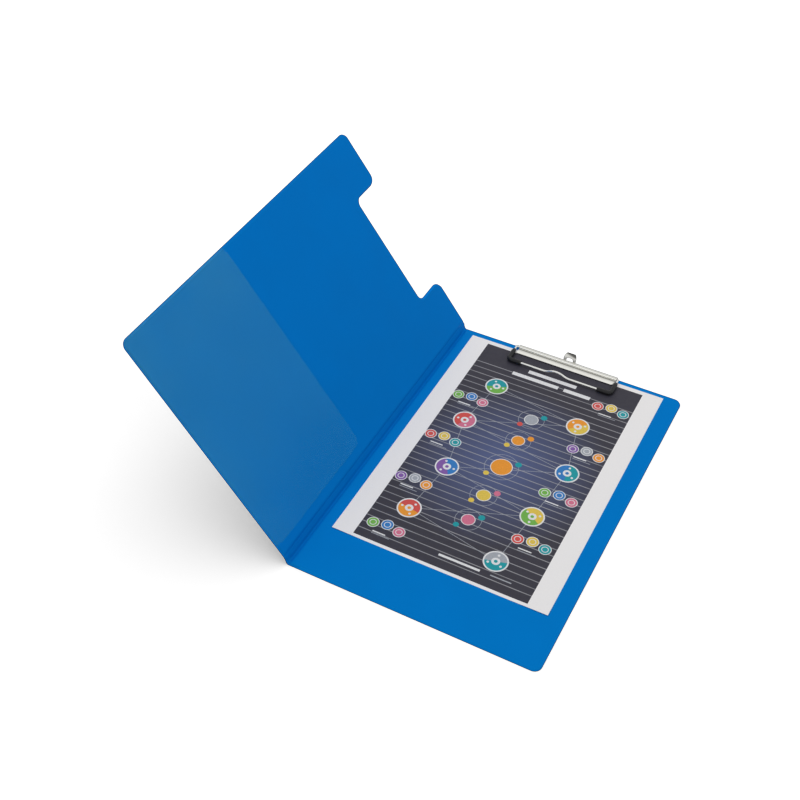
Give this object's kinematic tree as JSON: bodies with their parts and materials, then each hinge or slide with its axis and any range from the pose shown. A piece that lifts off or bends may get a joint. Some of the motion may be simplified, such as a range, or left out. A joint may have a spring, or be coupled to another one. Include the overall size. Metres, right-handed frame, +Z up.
{
  "type": "clipboard folder",
  "caption": "Open fold-over clipboard folder: two board panels in welded PVC, a narrow spine, a cover notched for the clip, a clear pocket and a sprung wire clip holding a sheet.",
  "frame": {"origin": "on the back panel's underside, halfway along the fold and in line with the middle of the clip", "axes": "+X from the fold to the back panel's free edge, +Y along the fold towards the clip end, +Z up out of the back panel"},
  "size_m": [0.3817, 0.3597, 0.2009],
  "materials": {
    "back_pvc": "blue embossed PVC sheet, satin",
    "cover_pvc": "blue embossed PVC sheet, satin",
    "greyboard": "pressed grey paper board",
    "nickel_sheet": "nickel-plated steel sheet, softly polished",
    "nickel_rivet": "nickel-plated steel, satin",
    "nickel_wire": "nickel-plated spring wire, polished",
    "paper": "white office paper with a dark printed area",
    "clear_pvc": "clear PVC film, slightly matt",
    "black_plastic": "black soft PVC sleeve, satin"
  },
  "bodies": {
    "back": {"back_outer_skin": "back_pvc", "back_board": "greyboard", "back_lining": "back_pvc", "clip_profile": "nickel_sheet", "clip_rivets": "nickel_rivet", "paper_sheet": "paper"},
    "spine": {"spine_outer_skin": "cover_pvc", "spine_core": "greyboard", "spine_lining": "cover_pvc"},
    "cover": {"cover_outer_skin": "cover_pvc", "cover_board": "greyboard", "cover_lining": "cover_pvc", "clear_pocket": "clear_pvc"},
    "bail": {"wire_bail": "nickel_wire", "grip_left": "black_plastic", "grip_right": "black_plastic"}
  },
  "joints": [
    {"name": "spine_fold", "type": "hinge", "parent": "back", "child": "spine", "pos_m": [-0.1188, 0, 0.0003], "axis": [0, 1, 0], "range_deg": [-164, 16]},
    {"name": "cover_fold", "type": "hinge", "parent": "spine", "child": "cover", "pos_m": [-0.12089, 0, 0.00761], "axis": [0, 1, 0], "range_deg": [-70.2, 109.8]},
    {"name": "clip_bail", "type": "hinge", "parent": "back", "child": "bail", "pos_m": [0, 0.1747, 0.00501], "axis": [-1, 0, 0], "range_deg": [0, 100], "stiffness_Nm_per_rad": 0.12, "springref_deg": -97.4}
  ]
}
